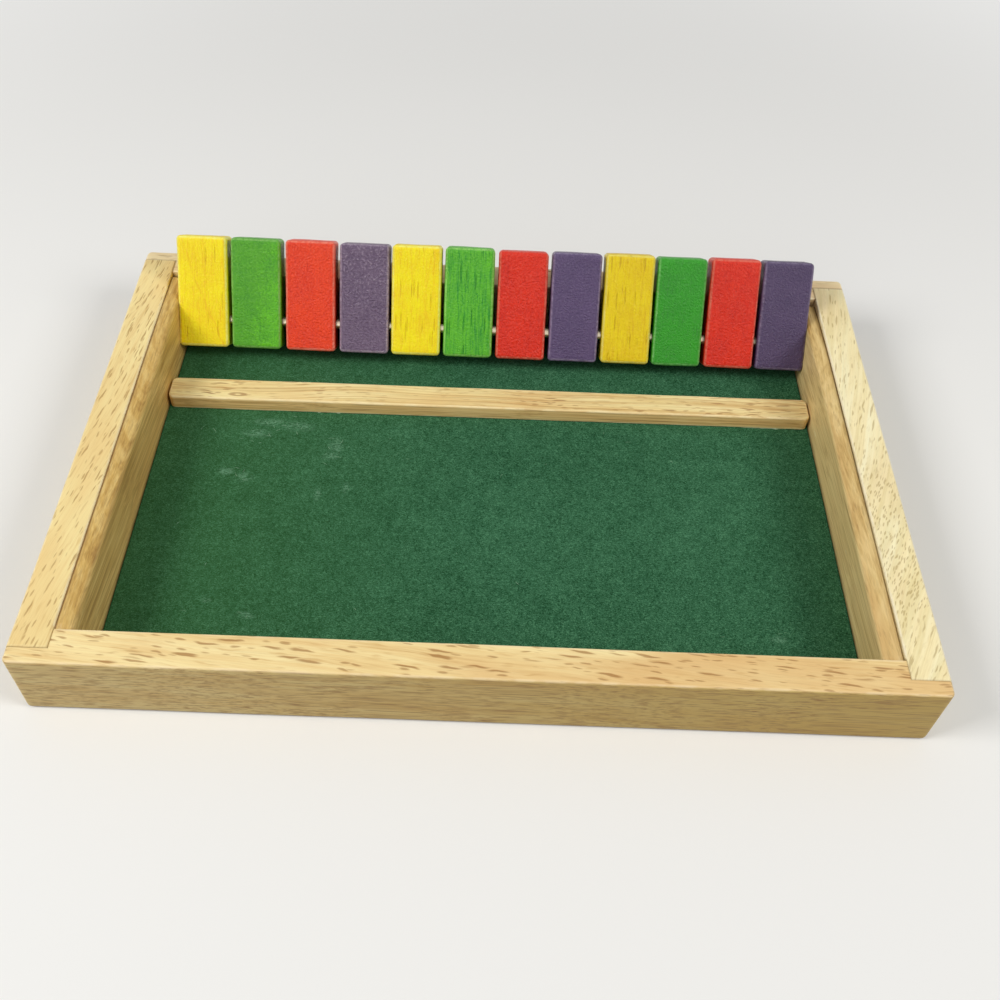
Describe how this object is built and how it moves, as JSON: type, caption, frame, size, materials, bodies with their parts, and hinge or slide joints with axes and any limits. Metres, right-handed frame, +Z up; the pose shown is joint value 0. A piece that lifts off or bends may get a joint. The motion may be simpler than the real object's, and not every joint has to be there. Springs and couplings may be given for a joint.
{
  "type": "shut the box game",
  "caption": "Shallow wooden game tray with a felt floor and a row of painted tiles that lean back on the rear rail and flip forward on a rod.",
  "frame": {"origin": "middle of the underside, on the surface that the tray stands on", "axes": "+X to the right along the row of tiles, +Y from the dice floor towards the tiles, +Z up"},
  "size_m": [0.238, 0.1624, 0.0378],
  "materials": {
    "pale_wood": "clear satin lacquer on pale rubberwood",
    "strip_wood": "clear satin lacquer on darker wood",
    "board": "bare hardboard",
    "green_felt": "short mottled felt",
    "rod_steel": "bright drawn rod",
    "yellow_paint": "thin satin paint with the grain showing",
    "green_paint": "thin satin paint, pebbled",
    "red_paint": "thin satin paint, pebbled",
    "purple_paint": "thin satin paint, pebbled"
  },
  "bodies": {
    "tray": {"front_rail": "pale_wood", "back_rail": "pale_wood", "left_rail": "pale_wood", "right_rail": "pale_wood", "left_strip": "strip_wood", "right_strip": "strip_wood", "base_panel": "board", "felt": "green_felt", "rest_bar": "pale_wood", "pivot_rod": "rod_steel"},
    "tile_01": {"tile_01": "yellow_paint"},
    "tile_02": {"tile_02": "green_paint"},
    "tile_03": {"tile_03": "red_paint"},
    "tile_04": {"tile_04": "purple_paint"},
    "tile_05": {"tile_05": "yellow_paint"},
    "tile_06": {"tile_06": "green_paint"},
    "tile_07": {"tile_07": "red_paint"},
    "tile_08": {"tile_08": "purple_paint"},
    "tile_09": {"tile_09": "yellow_paint"},
    "tile_10": {"tile_10": "green_paint"},
    "tile_11": {"tile_11": "red_paint"},
    "tile_12": {"tile_12": "purple_paint"}
  },
  "joints": [
    {"name": "tile_01_flip", "type": "hinge", "parent": "tray", "child": "tile_01", "pos_m": [0, 0.05865, 0.01313], "axis": [1, 0, 0], "range_deg": [0, 125.5]},
    {"name": "tile_02_flip", "type": "hinge", "parent": "tray", "child": "tile_02", "pos_m": [0, 0.05865, 0.01313], "axis": [1, 0, 0], "range_deg": [0, 125.5]},
    {"name": "tile_03_flip", "type": "hinge", "parent": "tray", "child": "tile_03", "pos_m": [0, 0.05865, 0.01313], "axis": [1, 0, 0], "range_deg": [0, 125.5]},
    {"name": "tile_04_flip", "type": "hinge", "parent": "tray", "child": "tile_04", "pos_m": [0, 0.05865, 0.01313], "axis": [1, 0, 0], "range_deg": [0, 125.5]},
    {"name": "tile_05_flip", "type": "hinge", "parent": "tray", "child": "tile_05", "pos_m": [0, 0.05865, 0.01313], "axis": [1, 0, 0], "range_deg": [0, 125.5]},
    {"name": "tile_06_flip", "type": "hinge", "parent": "tray", "child": "tile_06", "pos_m": [0, 0.05865, 0.01313], "axis": [1, 0, 0], "range_deg": [0, 125.5]},
    {"name": "tile_07_flip", "type": "hinge", "parent": "tray", "child": "tile_07", "pos_m": [0, 0.05865, 0.01313], "axis": [1, 0, 0], "range_deg": [0, 125.5]},
    {"name": "tile_08_flip", "type": "hinge", "parent": "tray", "child": "tile_08", "pos_m": [0, 0.05865, 0.01313], "axis": [1, 0, 0], "range_deg": [0, 125.5]},
    {"name": "tile_09_flip", "type": "hinge", "parent": "tray", "child": "tile_09", "pos_m": [0, 0.05865, 0.01313], "axis": [1, 0, 0], "range_deg": [0, 125.5]},
    {"name": "tile_10_flip", "type": "hinge", "parent": "tray", "child": "tile_10", "pos_m": [0, 0.05865, 0.01313], "axis": [1, 0, 0], "range_deg": [0, 125.5]},
    {"name": "tile_11_flip", "type": "hinge", "parent": "tray", "child": "tile_11", "pos_m": [0, 0.05865, 0.01313], "axis": [1, 0, 0], "range_deg": [0, 125.5]},
    {"name": "tile_12_flip", "type": "hinge", "parent": "tray", "child": "tile_12", "pos_m": [0, 0.05865, 0.01313], "axis": [1, 0, 0], "range_deg": [0, 125.5]}
  ]
}
